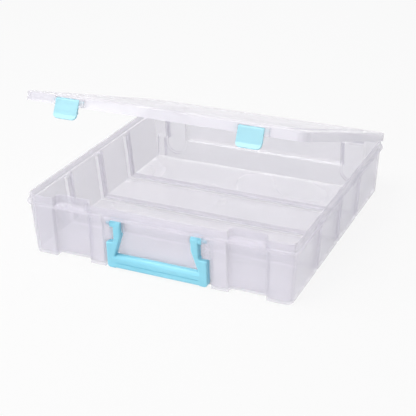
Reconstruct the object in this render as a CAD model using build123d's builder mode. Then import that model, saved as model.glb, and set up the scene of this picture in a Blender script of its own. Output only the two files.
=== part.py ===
from build123d import *
import os

os.makedirs("parts", exist_ok=True)

# A shallow carrying box for craft supplies, in millimetres. X runs along the front,
# the front is at -Y, the lid hinges at +Y, and Z is up from the table.
# The lid and its latches are drawn closed, and each is then turned to where it stands.

# Envelope
box_width = 387.0
box_depth = 364.0
rim_height = 85.0
lid_height = 90.0
wall = 2.2
floor = 2.4
half_width = box_width / 2
half_depth = box_depth / 2

# Tray walls: half sizes at the table and under the ledge, both to the outer face
foot_x, foot_y = 184.8, 179.2
wall_x, wall_y = 190.0, 179.5
inner_x, inner_y = foot_x - wall, foot_y - wall
corner_radius = 11.0
foot_corner_radius = 9.0
foot_round = 1.6

# Ledge that the latches catch under, and the band that the lid closes over
ledge_z = 72.0
ledge_thickness = 3.5
band_low_x, band_low_y = 191.0, 179.6
band_top_x, band_top_y = 190.4, 179.0
band_bottom_z = ledge_z + ledge_thickness

# Hollow ridges that divide the floor and the side walls in four
ridge_pitch = 81.5
ridge_middle_y = -4.5
ridge_width = 12.4
channel_width = ridge_width - 2 * wall
ridge_depth = 5.0
ridge_rise = 4.0
ridge_floor_z = floor + ridge_rise
channel_top_z = ledge_z - 2
ridge_top_z = band_bottom_z + 1
ridge_round = 1.5
core_radii = (8.0, 7.0)
ridge_rows = [ridge_middle_y + step * ridge_pitch for step in (-1, 0, 1)]

# Bays in the front wall where a finger reaches behind a latch
bay_x = 125.2
bay_half_width = 25.7
bay_back_top_y = -166.0
bay_back_foot_y = -168.5
bay_round = 4.0
mouth_round = 3.0
notch_half_width = 23.6
notch_mouth_round = 1.0

# Recess that the handle hangs in, and the two bosses that hold its pins
recess_half_width = 76.0
recess_back_y = -169.5
recess_top_z = 70.0
boss_inner_x = 65.5
boss_bottom_z = 42.0
handle_axis_y = -175.5
handle_axis_z = 64.0
handle_pin_radius = 2.6
pin_clearance = 0.08
rib_inner_x, rib_outer_x = 46.5, 49.3
rib_front_y = -177.5
rib_bottom_z = 54.0

# Handle
arm_inner_x, arm_outer_x = 50.3, 60.5
leg_inner_x, leg_outer_x = 60.5, 72.0
arm_radius = 5.5
hub_radius = 4.8
hub_end_x = 65.0
shoulder_z = 38.5
arm_straight_z = 50.0
grip_bottom_z = 1.0
grip_top_z = 20.0
grip_top_round, grip_low_round = 6.0, 3.5
handle_front_y = -181.0
handle_back_y = -171.0
handle_pin_end_x = 71.0
bail_corner_round, bail_shoulder_round = 4.5, 2.0
arm_corner_round, arm_bend_radius = 4.0, 20.0
leg_front_round, leg_back_round = 1.8, 1.0
grip_back_round, grip_overlap = 2.5, 1.5
grip_groove_x, grip_groove_z = 60.0, 9.5
grip_groove_half = 0.6

# Small tabs on the rim above the handle's arms
tab_rise = 0.9
tab_front_y = -band_top_y + 0.1
tab_back_y = -band_top_y + 2.0

# Rear wall: pockets at the hinges, which the ledge bridges, and a foot that is set in,
# with a recess behind it
hinge_x = 148.0
pocket_half_width = 16.0
pocket_bottom_z = 12.0
pocket_depth = 11.0
pocket_top_z = rim_height - 1
pocket_slot_back_y = band_top_y - wall - 0.3
step_top_z = 37.0
step_depth = 8.8
step_recess_x = 172.0
step_recess_z = 33.0

# Hinge at the rear
hinge_y = 186.0
hinge_z = 80.0
ear_radius = 5.2
ear_inner, ear_outer = 9.0, 14.0
hinge_pin_radius = 2.5
hinge_arm_half = 8.4
hinge_pin_half = 13.0

# Lid
skirt_bottom_z = 77.6
skirt_thickness = 1.8
plate_thickness = 2.0
panel_inset = 24.0
panel_rise = 1.0
lid_ajar_deg = 21.0

# Latches
latch_x = bay_x
latch_half_width = 16.5
latch_axis_y = -182.4
latch_axis_z = 84.2
latch_pin_radius = 1.6
latch_knuckle_radius = 3.0
latch_back_y = -182.6
latch_front_y = -185.4
latch_bottom_z = 60.0
latch_side_depth = 6.0
latch_side_width = 2.0
latch_foot_round = 6.0
latch_lug_width = 6.0
latch_lug_gap = 0.5
latch_notch_y = -175.2
latch_swung_deg = 8.5
hook_tip_y = -181.0
hook_top_z = ledge_z - 0.5


def drafted(low_z, low, top_z, top, radii, mode=Mode.ADD):
    """A block with rounded corners between two half sizes at two heights."""
    sections = []
    for z, (x, y), radius in ((low_z, low, radii[0]), (top_z, top, radii[1])):
        with BuildSketch(Plane.XY.offset(z)) as section:
            RectangleRounded(2 * x, 2 * y, radius)
        sections.append(section.sketch)
    loft(sections=sections, mode=mode)


def slab(x_range, y_range, z_range, mode=Mode.ADD):
    """A plain block between two corners."""
    centre = [sum(pair) / 2 for pair in (x_range, y_range, z_range)]
    size = [pair[1] - pair[0] for pair in (x_range, y_range, z_range)]
    with Locations(tuple(centre)):
        Box(*size, mode=mode)


def cross_pin(y, z, x_start, x_end, radius, mode=Mode.ADD):
    """A round bar along X."""
    with BuildSketch(Plane.YZ.offset(x_start)) as end:
        with Locations((y, z)):
            Circle(radius)
    extrude(end.sketch, amount=x_end - x_start, mode=mode)


def mirrored(side, near, far):
    """The X range from near to far on the given side, in rising order."""
    return tuple(sorted((side * near, side * far)))


def bay_section(z, centre_x, half, back_y, mouth_y, ease=mouth_round):
    """The plan of a bay in the front wall, its corners rounded and its mouth eased."""
    left, right, far_y = centre_x - half, centre_x + half, -half_depth - 2
    with BuildSketch(Plane.XY.offset(z)) as section:
        with BuildLine():
            Line((right + ease, far_y), (left - ease, far_y))
            Line((left - ease, far_y), (left - ease, mouth_y))
            RadiusArc((left - ease, mouth_y), (left, mouth_y + ease), -ease)
            Line((left, mouth_y + ease), (left, back_y - bay_round))
            RadiusArc((left, back_y - bay_round), (left + bay_round, back_y), bay_round)
            Line((left + bay_round, back_y), (right - bay_round, back_y))
            RadiusArc((right - bay_round, back_y), (right, back_y - bay_round), bay_round)
            Line((right, back_y - bay_round), (right, mouth_y + ease))
            RadiusArc((right, mouth_y + ease), (right + ease, mouth_y), -ease)
            Line((right + ease, mouth_y), (right + ease, far_y))
        make_face()
    return section.sketch


def bay_back(z):
    """How far back a latch bay reaches at a height."""
    return bay_back_foot_y + z / rim_height * (bay_back_top_y - bay_back_foot_y)


def lining_section(z, centre_x, half, back_y):
    """The plan of the wall that lines a bay, from inside the front wall to behind the bay."""
    front_y = -inner_y - wall / 2
    with BuildSketch(Plane.XY.offset(z)) as section:
        with Locations((centre_x, (front_y + back_y) / 2)):
            Rectangle(2 * half, back_y - front_y)
        fillet(section.vertices().group_by(Axis.Y)[-1], bay_round + wall)
    return section.sketch


# The ridges: a hollow bead up each side wall and across the floor, three times
with BuildPart() as ridges:
    for y in ridge_rows:
        slab((-half_width, half_width), (y - ridge_width / 2, y + ridge_width / 2), (0, ridge_top_z))
    outer_low, outer_top = (foot_x - 2, foot_y - 1), (band_top_x - 1, band_top_y - 1)
    outer_radii = (foot_corner_radius - 1, corner_radius - 1)
    drafted(0, outer_low, rim_height, outer_top, outer_radii, Mode.INTERSECT)
    core_low = (inner_x - ridge_depth, inner_y)
    core_top = (band_top_x - wall - ridge_depth, band_top_y - wall)
    drafted(ridge_floor_z, core_low, rim_height, core_top, core_radii, Mode.SUBTRACT)
    crest_edges = ridges.edges().filter_by(Axis.X)
    crest_edges = crest_edges.filter_by_position(Axis.Z, ridge_floor_z - 0.1, ridge_floor_z + 0.1)
    wall_edges = ridges.edges().filter_by(lambda edge: edge.length > ridge_top_z / 2)
    wall_edges = wall_edges.filter_by(lambda edge: foot_x / 2 < abs(edge.center().X) < foot_x - 2)
    fillet(crest_edges + wall_edges, ridge_round)

with BuildPart() as channels:
    for y in ridge_rows:
        slab((-half_width, half_width), (y - channel_width / 2, y + channel_width / 2), (-1, channel_top_z))
    drafted(
        ridge_rise,
        (foot_x - ridge_depth, half_depth),
        channel_top_z + wall,
        (wall_x - ridge_depth, half_depth),
        core_radii,
        Mode.SUBTRACT,
    )

with BuildPart() as tray:
    # Drafted shell with a ledge and a band round its top
    drafted(0, (foot_x, foot_y), ledge_z, (wall_x, wall_y), (foot_corner_radius, corner_radius))
    fillet(tray.edges().group_by(Axis.Z)[0], foot_round)
    with BuildSketch(Plane.XY.offset(ledge_z)):
        RectangleRounded(box_width, box_depth, corner_radius + 2)
    extrude(amount=ledge_thickness)
    fillet(tray.faces().filter_by(Axis.Z).sort_by(Axis.Z)[-1].edges(), 0.8)
    band_top = (band_top_x, band_top_y)
    band_radii = (corner_radius, corner_radius)
    drafted(band_bottom_z - 1, (band_low_x, band_low_y), rim_height, band_top, band_radii)
    cavity_top = (band_top_x - wall, band_top_y - wall)
    cavity_radii = (foot_corner_radius - wall, corner_radius - wall)
    drafted(floor, (inner_x, inner_y), rim_height, cavity_top, cavity_radii, Mode.SUBTRACT)
    floor_edges = tray.edges().filter_by_position(Axis.Z, floor - 0.05, floor + 0.05)
    fillet(floor_edges, 3)
    fillet(tray.faces().filter_by(Axis.Z).sort_by(Axis.Z)[-1].edges(), 0.7)
    add(ridges.part)
    add(channels.part, mode=Mode.SUBTRACT)

    # Latch bays: the wall goes in round a finger space, the ledge bridges it, and the
    # band above is open over a narrower notch
    below = (0, -1, ledge_z, bay_half_width, -wall_y, mouth_round)
    above = (ledge_z, band_bottom_z, rim_height + 1, notch_half_width, -band_top_y, notch_mouth_round)
    for side in (-1, 1):
        centre = side * bay_x
        for start_z, low_z, top_z, half, mouth_y, ease in (below, above):
            end_z = min(top_z, rim_height)
            ends = (start_z, end_z)
            loft(sections=[lining_section(z, centre, half + wall, bay_back(z) + wall) for z in ends])
            ends = (low_z, top_z)
            bay = [bay_section(z, centre, half, bay_back(z), mouth_y, ease) for z in ends]
            loft(sections=bay, mode=Mode.SUBTRACT)

    # Handle recess below the ledge, with a boss at each end for the handle's pin and a rib
    # on the other side of each arm
    recess_lining = lining_section(0.5, 0, recess_half_width + wall, recess_back_y + wall)
    extrude(recess_lining, amount=recess_top_z + wall)
    recess = bay_section(-1, 0, recess_half_width, recess_back_y, -wall_y)
    extrude(recess, amount=recess_top_z + 1, mode=Mode.SUBTRACT)
    for side in (-1, 1):
        slab(
            mirrored(side, boss_inner_x, recess_half_width + 0.5),
            (-foot_y - 0.9, recess_back_y + 0.5),
            (boss_bottom_z, recess_top_z + 0.5),
        )
        slab(
            mirrored(side, rib_inner_x, rib_outer_x),
            (rib_front_y, recess_back_y + 0.5),
            (rib_bottom_z, recess_top_z + 0.5),
        )
        bore = mirrored(side, boss_inner_x - 1, handle_pin_end_x + 1)
        cross_pin(handle_axis_y, handle_axis_z, *bore, handle_pin_radius + pin_clearance, Mode.SUBTRACT)
        # A small raised tab marks each pivot on the rim
        tab = mirrored(side, arm_inner_x + 1, arm_outer_x + 1)
        slab(tab, (tab_front_y, tab_back_y), (rim_height - 1, rim_height + tab_rise))

    # The foot of the rear wall is set in, under a sloping step
    step_y = inner_y - step_depth
    with BuildSketch(Plane.YZ.offset(-inner_x)) as step:
        with BuildLine():
            Polyline(
                (foot_y - 1, floor - 1),
                (step_y, floor - 1),
                (step_y + 0.4, step_top_z - 2),
                (inner_y + 1, step_top_z + 2),
                (foot_y - 1, floor - 1),
            )
        make_face()
    extrude(step.sketch, amount=2 * inner_x)

    # Hinge pockets in the rear wall, seen from inside as round-ended bosses
    pocket_round_z = pocket_bottom_z + pocket_half_width
    for side in (-1, 1):
        boss = (wall, 1.0, pocket_top_z, Mode.ADD)
        hollow = (0, -2.0, ledge_z - 1, Mode.SUBTRACT)
        for grow, low_y, top_z, mode in (boss, hollow):
            radius = pocket_half_width + grow
            with BuildSketch(Plane.XZ.offset(-(wall_y - low_y))):
                with Locations((side * hinge_x, pocket_round_z)):
                    Circle(radius)
                with Locations((side * hinge_x, (pocket_round_z + top_z) / 2)):
                    Rectangle(2 * radius, top_z - pocket_round_z)
            extrude(amount=pocket_depth + grow - low_y, mode=mode)
        slot_x = (side * hinge_x - pocket_half_width, side * hinge_x + pocket_half_width)
        slot_y = (wall_y - pocket_depth, pocket_slot_back_y)
        slab(slot_x, slot_y, (band_bottom_z, rim_height + 1), Mode.SUBTRACT)

    recess_x = (-step_recess_x, step_recess_x)
    slab(recess_x, (step_y + wall, half_depth), (-1, step_recess_z), Mode.SUBTRACT)

    # Hinge ears with their pin holes
    for side in (-1, 1):
        for end in (-1, 1):
            start = side * hinge_x + min(end * ear_inner, end * ear_outer)
            stop = start + ear_outer - ear_inner
            cross_pin(hinge_y, hinge_z, start, stop, ear_radius)
            slab((start, stop), (band_top_y - 1.5, hinge_y), (ledge_z + 2.8, hinge_z + ear_radius))
            bore_radius = hinge_pin_radius + pin_clearance
            cross_pin(hinge_y, hinge_z, start - 1, stop + 1, bore_radius, Mode.SUBTRACT)

# Lid: a plate with a raised centre panel and a skirt, its hinge arms and latch lugs
with BuildPart() as lid:
    with BuildSketch(Plane.XY.offset(skirt_bottom_z)):
        RectangleRounded(box_width, box_depth, corner_radius + 2)
    extrude(amount=lid_height - skirt_bottom_z)
    fillet(lid.faces().sort_by(Axis.Z)[-1].edges(), 1.6)
    with BuildSketch(Plane.XY.offset(lid_height)):
        RectangleRounded(box_width - 2 * panel_inset, box_depth - 2 * panel_inset, 20)
    extrude(amount=panel_rise, taper=45)
    with BuildSketch(Plane.XY.offset(skirt_bottom_z)):
        RectangleRounded(box_width - 2 * skirt_thickness, box_depth - 2 * skirt_thickness, corner_radius)
    extrude(amount=lid_height - plate_thickness - skirt_bottom_z, mode=Mode.SUBTRACT)
    with BuildSketch(Plane.XY.offset(lid_height - plate_thickness)):
        RectangleRounded(box_width - 2 * panel_inset - 4, box_depth - 2 * panel_inset - 4, 18)
    extrude(amount=panel_rise, taper=45, mode=Mode.SUBTRACT)

    # Notches in the skirt for the latches, each closed behind and flanked by lugs
    notch_half = latch_half_width + latch_lug_gap
    plate_under_z = lid_height - plate_thickness
    for side in (-1, 1):
        centre = side * latch_x
        reach = notch_half + latch_lug_width
        slab(
            (centre - reach, centre + reach),
            (latch_notch_y, latch_notch_y + skirt_thickness),
            (skirt_bottom_z, plate_under_z + 0.5),
        )
        slab(
            (centre - reach, centre + reach),
            (latch_axis_y - latch_knuckle_radius, latch_notch_y + 0.5),
            (skirt_bottom_z, plate_under_z + 0.5),
        )
        slab(
            (centre - notch_half, centre + notch_half),
            (-half_depth - 10, latch_notch_y),
            (skirt_bottom_z - 1, plate_under_z),
            Mode.SUBTRACT,
        )
        bore = (centre - reach + 1.2, centre + reach - 1.2)
        cross_pin(latch_axis_y, latch_axis_z, *bore, latch_pin_radius + pin_clearance, Mode.SUBTRACT)

    # Hinge arms, and gaps in the rear skirt for the tray's ears
    for side in (-1, 1):
        centre = side * hinge_x
        for end in (-1, 1):
            gap = sorted((centre + end * (ear_inner - 0.5), centre + end * (ear_outer + 0.6)))
            slab(gap, (half_depth - 4, half_depth + 4), (skirt_bottom_z - 1, plate_under_z), Mode.SUBTRACT)
        arm = (centre - hinge_arm_half, centre + hinge_arm_half)
        slab(arm, (half_depth - skirt_thickness, hinge_y + 2), (hinge_z - 1, lid_height - 0.4))
        cross_pin(hinge_y, hinge_z, *arm, 4.4)
        cross_pin(hinge_y, hinge_z, centre - hinge_pin_half, centre + hinge_pin_half, hinge_pin_radius)

# Latch: a plate that hangs from its knuckle, with sides, a hook behind and a finger lip
latches = {}
for side, name in ((-1, "latch_left"), (1, "latch_right")):
    centre = side * latch_x
    with BuildPart() as latch:
        with BuildSketch(Plane.YZ.offset(centre - latch_half_width)):
            with BuildLine():
                Polyline(
                    (latch_back_y, latch_axis_z),
                    (latch_front_y, latch_axis_z),
                    (latch_front_y, latch_bottom_z + 6),
                    (latch_front_y - 1.6, latch_bottom_z + 0.8),
                    (latch_front_y + 0.6, latch_bottom_z),
                    (latch_back_y, latch_bottom_z + 6),
                    (latch_back_y, hook_top_z - 3.2),
                    (hook_tip_y, hook_top_z - 2.0),
                    (hook_tip_y, hook_top_z - 0.6),
                    (latch_back_y, hook_top_z),
                    (latch_back_y, latch_axis_z),
                )
            make_face()
            with Locations((latch_axis_y, latch_axis_z)):
                Circle(latch_knuckle_radius)
        extrude(amount=2 * latch_half_width)
        low_edges = latch.edges().filter_by(lambda edge: edge.center().Z < latch_bottom_z + 1)
        fillet(low_edges.filter_by(lambda edge: abs(edge.tangent_at(0).X) < 0.1), latch_foot_round)
        for end in (-1, 1):
            start = centre + end * (latch_half_width - latch_side_width / 2) - latch_side_width / 2
            with BuildSketch(Plane.YZ.offset(start)) as cheek:
                with BuildLine():
                    Polyline(
                        (latch_axis_y, latch_axis_z + latch_knuckle_radius),
                        (latch_axis_y + latch_side_depth - 1, latch_axis_z + latch_knuckle_radius - 1),
                        (latch_axis_y + latch_side_depth, latch_axis_z - 1),
                        (latch_back_y - 0.5, latch_axis_z - 7.2),
                        (latch_axis_y, latch_axis_z + latch_knuckle_radius),
                    )
                make_face()
            extrude(cheek.sketch, amount=latch_side_width)
        pin_reach = latch_half_width + latch_lug_gap + latch_lug_width - 1.6
        cross_pin(latch_axis_y, latch_axis_z, centre - pin_reach, centre + pin_reach, latch_pin_radius)
    latches[name] = latch.part

# Handle: a bail with stepped legs, a rounded grip and two pins that point outward
with BuildPart() as handle:
    with BuildSketch(Plane.XZ.offset(-handle_front_y)):
        for side in (-1, 1):
            with BuildLine():
                Polyline(
                    (side * arm_inner_x, handle_axis_z),
                    (side * arm_outer_x, handle_axis_z),
                    (side * arm_outer_x, shoulder_z),
                    (side * leg_outer_x, shoulder_z),
                    (side * leg_outer_x, grip_bottom_z),
                    (side * leg_inner_x, grip_bottom_z),
                    (side * leg_inner_x, grip_top_z),
                    (side * arm_inner_x, arm_straight_z),
                    (side * arm_inner_x, handle_axis_z),
                )
            make_face()
    extrude(amount=handle_front_y - handle_back_y)
    for z, x, radius in (
        (grip_bottom_z, leg_outer_x, bail_corner_round),
        (shoulder_z, leg_outer_x, bail_shoulder_round),
        (shoulder_z, arm_outer_x, arm_corner_round),
        (arm_straight_z, arm_inner_x, arm_bend_radius),
    ):
        corners = handle.edges().filter_by(Axis.Y).filter_by_position(Axis.Z, z - 0.5, z + 0.5)
        fillet(corners.filter_by(lambda edge: abs(abs(edge.center().X) - x) < 0.5), radius)
    fillet(handle.faces().sort_by(Axis.Y)[0:2].edges(), leg_front_round)
    fillet(handle.faces().sort_by(Axis.Y)[-2:].edges(), leg_back_round)

    # The grip joins the two legs
    with BuildSketch(Plane.YZ.offset(-leg_inner_x - grip_overlap)) as grip:
        with Locations(((handle_front_y + handle_back_y) / 2, (grip_bottom_z + grip_top_z) / 2)):
            Rectangle(handle_back_y - handle_front_y, grip_top_z - grip_bottom_z)
        front = grip.vertices().group_by(Axis.X)[0].sort_by(Axis.Y)
        fillet(front[1], grip_top_round)
        fillet(grip.vertices().group_by(Axis.X)[0].sort_by(Axis.Y)[0], grip_low_round)
        fillet(grip.vertices().group_by(Axis.X)[-1], grip_back_round)
    extrude(grip.sketch, amount=2 * (leg_inner_x + grip_overlap))
    groove_z = (grip_groove_z - grip_groove_half, grip_groove_z + grip_groove_half)
    groove_y = (handle_front_y - 1, handle_front_y + grip_groove_half)
    slab((-grip_groove_x, grip_groove_x), groove_y, groove_z, Mode.SUBTRACT)
    for side in (-1, 1):
        for start_x, end_x, radius in (
            (arm_inner_x, arm_outer_x, arm_radius),
            (arm_outer_x - 1, hub_end_x, hub_radius),
            (hub_end_x - 1, handle_pin_end_x, handle_pin_radius),
        ):
            cross_pin(handle_axis_y, handle_axis_z, *mirrored(side, start_x, end_x), radius)

# Turn the lid and latches to where they stand: the lid ajar, each latch just unhooked
hinge_axis = Axis((0, hinge_y, hinge_z), (1, 0, 0))
latch_axis = Axis((0, latch_axis_y, latch_axis_z), (1, 0, 0))
pieces = {"tray": tray.part, "handle": handle.part}
pieces["lid"] = lid.part.rotate(hinge_axis, -lid_ajar_deg)
for name, part in latches.items():
    pieces[name] = part.rotate(latch_axis, -latch_swung_deg).rotate(hinge_axis, -lid_ajar_deg)

# The origin lies on the table under the middle of the tray, its hinge ears counted in
middle_y = (hinge_y + ear_radius - half_depth) / 2
for name, part in pieces.items():
    placed = part.moved(Location((0, -middle_y, 0)))
    placed.label = name
    export_step(placed, f"parts/{name}.step")
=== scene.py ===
# %% [markdown]
# A craft storage box: a shallow tray and lid of natural polypropylene, with a
# handle and two latches of aqua plastic. The shapes come ready made from the
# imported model, which is the fixed frame of this scene. This file gives them
# their finish, and sets the floor, the light and the camera.

# %% Load the frame
import math

import bmesh
import bpy
from mathutils import Matrix, Vector

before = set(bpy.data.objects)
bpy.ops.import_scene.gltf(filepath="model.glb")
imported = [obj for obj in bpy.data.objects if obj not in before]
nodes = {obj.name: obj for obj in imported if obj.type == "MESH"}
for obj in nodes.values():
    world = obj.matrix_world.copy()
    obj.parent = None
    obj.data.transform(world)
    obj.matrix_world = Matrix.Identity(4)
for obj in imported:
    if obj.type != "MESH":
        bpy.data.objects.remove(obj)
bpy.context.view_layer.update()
print("nodes:", sorted(nodes))


# %% [markdown]
# Each material is a small node tree. Four short helpers keep the trees easy to
# read: one starts a material and hands back its shader, one adds a node and
# fills in its sockets, one joins an output to an input, and one turns a colour
# as a screen shows it into the linear values that Blender works with.

# %% Helpers for node materials
def new_material(name):
    """A material with only its Principled shader and its output."""
    material = bpy.data.materials.new(name)
    material.use_nodes = True
    shader = material.node_tree.nodes["Principled BSDF"]
    return material, shader


def add_node(material, kind, **values):
    """Adds a node, with its sockets filled in by name."""
    node = material.node_tree.nodes.new(kind)
    for socket, value in values.items():
        node.inputs[socket.replace("_", " ")].default_value = value
    return node


def join(material, output, target):
    """Links an output socket to an input socket."""
    material.node_tree.links.new(output, target)


def srgb(red, green, blue):
    """A colour as seen on a screen, from 0 to 255, as the linear values Blender uses."""
    linear = []
    for level in (red, green, blue):
        share = level / 255
        linear.append(share / 12.92 if share <= 0.04045 else ((share + 0.055) / 1.055) ** 2.4)
    return (*linear, 1.0)


print("helpers ready; middle grey as linear light:", round(srgb(128, 128, 128)[0], 3))


# %% [markdown]
# A moulding is never quite even. The plastic fills the mould in broad, faint
# streaks that run up the walls, the steel leaves a fine grain, and handling
# rubs some patches smoother than others. These could be painted by hand, but
# three noise patterns cover every side at once. The streaks shift the colour
# between two close tones, the grain goes into the bump, and slow clouds vary
# the roughness. Object coordinates keep the patterns fixed to the piece,
# however it is turned. With smaller and stronger streaks, which were tried
# first, the tray's floor looked mottled, so they stay broad and faint.

# %% The marks of moulding
grain_strength = 0.1
cloud_scale = 14.0
streak_stretch = (12.0, 12.0, 4.0)
streak_start, streak_end = 0.35, 0.65


def moulded_surface(material, shader, tones, grain_scale, grain_height, rough_range):
    """Adds flow streaks, mould grain and uneven polish to a shader."""
    place = add_node(material, "ShaderNodeTexCoord")
    grain = add_node(material, "ShaderNodeTexNoise", Scale=grain_scale, Detail=3.0, Roughness=0.55)
    join(material, place.outputs["Object"], grain.inputs["Vector"])
    bump = add_node(material, "ShaderNodeBump", Strength=grain_strength, Distance=grain_height)
    join(material, grain.outputs["Fac"], bump.inputs["Height"])
    join(material, bump.outputs["Normal"], shader.inputs["Normal"])

    cloud = add_node(material, "ShaderNodeTexNoise", Scale=cloud_scale, Detail=2.0, Roughness=0.6)
    join(material, place.outputs["Object"], cloud.inputs["Vector"])
    polish = add_node(material, "ShaderNodeMapRange", To_Min=rough_range[0], To_Max=rough_range[1])
    join(material, cloud.outputs["Fac"], polish.inputs["Value"])
    join(material, polish.outputs["Result"], shader.inputs["Roughness"])

    stretch = add_node(material, "ShaderNodeMapping", Scale=streak_stretch)
    join(material, place.outputs["Object"], stretch.inputs["Vector"])
    streaks = add_node(material, "ShaderNodeTexNoise", Scale=1.0, Detail=0.0)
    join(material, stretch.outputs["Vector"], streaks.inputs["Vector"])
    tone = material.node_tree.nodes.new("ShaderNodeValToRGB")
    stops = zip(tone.color_ramp.elements, (streak_start, streak_end), tones)
    for stop, position, colour in stops:
        stop.position = position
        stop.color = colour
    join(material, streaks.outputs["Fac"], tone.inputs["Fac"])
    join(material, tone.outputs["Color"], shader.inputs["Base Color"])
    print(material.name, "has", len(material.node_tree.nodes), "nodes")


# %% [markdown]
# Natural polypropylene is neither clear nor white. Part of the light goes
# straight through its thin wall, part is bent and blurred on the way, and the
# rest is scattered back as a soft violet grey. Three settings of one shader
# share the light out in that way: an alpha below one lets light straight
# through, so that light also reaches the inside of the closed shell, the
# transmission weight gives the blurred part, and the base colour the rest.
# A low index of refraction suits a wall far thinner than it is wide, where the
# two faces undo each other's bending. A shader with transmission alone was
# tried first, but its rough refraction kept the lamps' light out of the box.

# %% Translucent polypropylene
wall_grain_scale = 500.0
wall_grain_height = 0.00004
wall_roughness = (0.14, 0.2)
thin_wall_index = 1.3


def translucent_plastic(name, tones, solid_share, blurred_share):
    """Polypropylene that lets some light straight through and blurs some."""
    material, shader = new_material(name)
    moulded_surface(material, shader, tones, wall_grain_scale, wall_grain_height, wall_roughness)
    shader.inputs["Alpha"].default_value = solid_share
    shader.inputs["Transmission Weight"].default_value = blurred_share
    shader.inputs["IOR"].default_value = thin_wall_index
    return material


tray_tones = (srgb(231, 229, 238), srgb(235, 232, 241))
# The lid is the same plastic as the tray. Its lighter tones are painted light, for the brighter
# light that falls on the lid.
lid_lit_tones = (srgb(243, 241, 248), srgb(246, 244, 250))
tray_plastic = translucent_plastic(
    "natural_polypropylene", tray_tones, solid_share=0.46, blurred_share=0.45)
lid_lit_plastic = translucent_plastic(
    "natural_polypropylene_lid_lit", lid_lit_tones, solid_share=0.5, blurred_share=0.4)


# %% [markdown]
# The handle and the latches are one aqua plastic. The handle is a solid bar, so
# its colour is deep. The latches are thin plates, and light comes through them
# from behind. Their paler tones are painted light, standing in for that light.
# So one function makes two materials, and the share of light that passes
# through is all that they don't have in common, apart from their tones.

# %% Aqua plastic
aqua_grain_scale = 1200.0
aqua_grain_height = 0.00008
aqua_roughness = (0.3, 0.42)
aqua_index = 1.49


def aqua_plastic(name, tones, blurred_share):
    """The coloured plastic of the handle and latches."""
    material, shader = new_material(name)
    moulded_surface(material, shader, tones, aqua_grain_scale, aqua_grain_height, aqua_roughness)
    shader.inputs["Transmission Weight"].default_value = blurred_share
    shader.inputs["IOR"].default_value = aqua_index
    return material


handle_tones = (srgb(143, 216, 236), srgb(151, 221, 239))
# The latches' paler tones are painted light: the same aqua, lightened for the light that comes
# through them.
latch_lit_tones = (srgb(180, 234, 248), srgb(188, 239, 250))
handle_plastic = aqua_plastic("aqua_plastic", handle_tones, blurred_share=0.0)
latch_lit_plastic = aqua_plastic("pale_aqua_plastic", latch_lit_tones, blurred_share=0.3)


# %% [markdown]
# Each moulding of the box is one plastic all over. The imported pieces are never
# changed in shape, so a finish goes into their material slots and nowhere else.

# %% Put the finishes on
finishes = {
    "tray": tray_plastic,
    "lid": lid_lit_plastic,
    "handle": handle_plastic,
    "latch_left": latch_lit_plastic,
    "latch_right": latch_lit_plastic,
}
for name, finish in finishes.items():
    for slot in nodes[name].material_slots:
        slot.material = finish
    print(name, "is finished with", finish.name)


# %% [markdown]
# The floor and the surroundings are white to the camera, and so is what shows
# through the box or is mirrored in it. A material or a world can ask what kind
# of ray has met it, and so this function gives one for those rays, and nought
# for the rays that only carry light.

# %% White for the eye, a gentler level for the light
def seen_directly(material_or_world):
    """One where a ray comes from the camera, or from or through the box."""
    tree = material_or_world.node_tree
    path = tree.nodes.new("ShaderNodeLightPath")
    total = path.outputs["Is Camera Ray"]
    for kind in ("Is Glossy Ray", "Is Transmission Ray"):
        either = tree.nodes.new("ShaderNodeMath")
        either.operation = "MAXIMUM"
        tree.links.new(total, either.inputs[0])
        tree.links.new(path.outputs[kind], either.inputs[1])
        total = either.outputs["Value"]
    return total


seen_white = 0.96
full_strength = 1.0
print("white seen at strength", seen_white)


# %% [markdown]
# The box stands on a plain white floor, large enough to have no edge in the
# photograph's view. Its material is a white diffuse one, which takes the box's
# shadow, mixed for the eye with a plain white glow that keeps the shadow faint.

# %% Floor
floor_size = 8.0
floor_gap = 0.0002
floor_glow = 0.92
floor_white = (0.9, 0.9, 0.9, 1)

floor_data = bpy.data.meshes.new("floor")
bm = bmesh.new()
bmesh.ops.create_grid(bm, x_segments=1, y_segments=1, size=floor_size / 2)
bm.to_mesh(floor_data)
bm.free()
floor = bpy.data.objects.new("floor", floor_data)
floor.location.z = -floor_gap
bpy.context.scene.collection.objects.link(floor)

print("floor", floor_size, "m square")


# %% [markdown]
# A floor could be plain white and lit until it shows as white, but that much
# light would wash the box out. Here the mix shader chooses by ray: the eye gets
# mostly the glow, and the box gets the light of a white floor.

# %% Floor material
floor_paint = bpy.data.materials.new("white_floor")
floor_paint.use_nodes = True
floor_paint.node_tree.nodes.clear()
matt = add_node(floor_paint, "ShaderNodeBsdfDiffuse", Color=floor_white)
glow_colour = (seen_white, seen_white, seen_white, 1)
glow = add_node(floor_paint, "ShaderNodeEmission", Color=glow_colour, Strength=full_strength)
glow_share = add_node(floor_paint, "ShaderNodeMath")
glow_share.operation = "MULTIPLY"
glow_share.inputs[1].default_value = floor_glow
join(floor_paint, seen_directly(floor_paint), glow_share.inputs[0])
blend = add_node(floor_paint, "ShaderNodeMixShader")
join(floor_paint, glow_share.outputs["Value"], blend.inputs["Fac"])
join(floor_paint, matt.outputs["BSDF"], blend.inputs[1])
join(floor_paint, glow.outputs["Emission"], blend.inputs[2])
out = add_node(floor_paint, "ShaderNodeOutputMaterial")
join(floor_paint, blend.outputs["Shader"], out.inputs["Surface"])
floor_data.materials.append(floor_paint)
print("the floor glows for the eye by a share of", floor_glow)


# %% [markdown]
# The light is that of a white studio. An even, faintly cool glow comes from all
# round. By itself it would light every side alike, so the next step adds lamps.
# Where the eye meets the world directly, it is plain white.

# %% World
world_level = 0.5
world_tint = (0.93, 0.95, 1.0, 1)
white = (1, 1, 1, 1)

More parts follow.
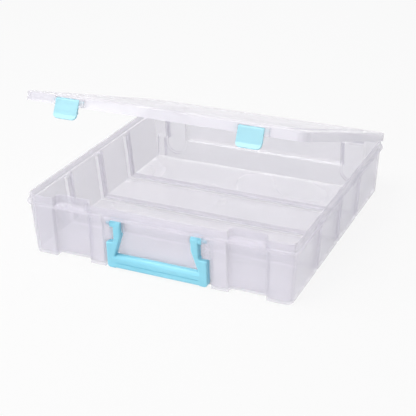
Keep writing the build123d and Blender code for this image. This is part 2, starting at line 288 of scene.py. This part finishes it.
world = bpy.data.worlds.new("studio")
bpy.context.scene.world = world
world.use_nodes = True
world_tree = world.node_tree
background = world_tree.nodes["Background"]
direct = seen_directly(world)
level = world_tree.nodes.new("ShaderNodeMapRange")
level.inputs["To Min"].default_value = world_level
level.inputs["To Max"].default_value = seen_white
world_tree.links.new(direct, level.inputs["Value"])
world_tree.links.new(level.outputs["Result"], background.inputs["Strength"])
tint = world_tree.nodes.new("ShaderNodeValToRGB")
tint.color_ramp.elements[0].color = world_tint
tint.color_ramp.elements[1].color = white
world_tree.links.new(direct, tint.inputs["Fac"])
world_tree.links.new(tint.outputs["Color"], background.inputs["Color"])
print("world at", world_level, "for light and", seen_white, "for the eye")


# %% [markdown]
# A large warm lamp overhead lights the inside of the tray and the top of the
# lid, and leaves the upright walls a little darker. A weak cool lamp stands low
# in front and lights the lid's front edge. A third, behind, brightens the edges
# that face it. Each is a rectangle, because a large lamp throws soft shadows.

# %% Lamps
lamp_aim = Vector((0, 0, 0.1))


def soft_lamp(name, place, width, height, watts, colour):
    """A rectangular lamp that points at the middle of the box."""
    data = bpy.data.lights.new(name, "AREA")
    data.shape = "RECTANGLE"
    data.size = width
    data.size_y = height
    data.energy = watts
    data.color = colour
    lamp = bpy.data.objects.new(name, data)
    lamp.location = place
    lamp.rotation_euler = (lamp_aim - Vector(place)).to_track_quat("-Z", "Y").to_euler()
    bpy.context.scene.collection.objects.link(lamp)
    print("lamp", name, watts, "W")


warm_white = (1.0, 0.97, 0.93)
cool_white = (0.9, 0.94, 1.0)
soft_white = (1.0, 0.99, 0.98)
soft_lamp("overhead", (-0.45, -0.5, 1.8), width=1.2, height=1.2, watts=28, colour=warm_white)
soft_lamp("front", (-0.58, -1.63, 0.58), width=1.2, height=0.4, watts=3.5, colour=cool_white)
soft_lamp("back", (-0.7, 1.6, 1.0), width=0.8, height=0.8, watts=3, colour=soft_white)


# %% [markdown]
# The camera stands to the right of the box's front and looks down on it, as
# the photograph does. Its place and lens were fitted to the corners and edges
# of the box. The sensor shift puts the box where the photograph's framing has
# it, because the photograph's centre isn't where its lens pointed.

# %% Camera
photo_side = 416
focal_pixels = 997.75
centre_pixel = (255.29, 189.38)
camera_place = Vector((0.55444, -1.15243, 0.65275))
azimuth = math.radians(23.24)
elevation = math.radians(25.50)
roll = math.radians(-0.52)

back = Vector((
    math.sin(azimuth) * math.cos(elevation),
    -math.cos(azimuth) * math.cos(elevation),
    math.sin(elevation),
))
level_right = Vector((math.cos(azimuth), math.sin(azimuth), 0))
level_up = back.cross(level_right)
right = level_right * math.cos(roll) + level_up * math.sin(roll)
up = level_up * math.cos(roll) - level_right * math.sin(roll)

camera_data = bpy.data.cameras.new("camera")
camera_data.sensor_width = 36
camera_data.lens = focal_pixels * camera_data.sensor_width / photo_side
camera_data.shift_x = (photo_side / 2 - centre_pixel[0]) / photo_side
camera_data.shift_y = (centre_pixel[1] - photo_side / 2) / photo_side
camera = bpy.data.objects.new("camera", camera_data)
turn = Matrix((right, up, back)).transposed().to_4x4()
camera.matrix_world = Matrix.Translation(camera_place) @ turn
bpy.context.scene.collection.objects.link(camera)
bpy.context.scene.camera = camera
print("lens", round(camera_data.lens, 1), "mm")


# %% [markdown]
# Last, the plain view transform keeps the colours as they are written.

# %% Finish
bpy.context.scene.view_settings.view_transform = "Standard"
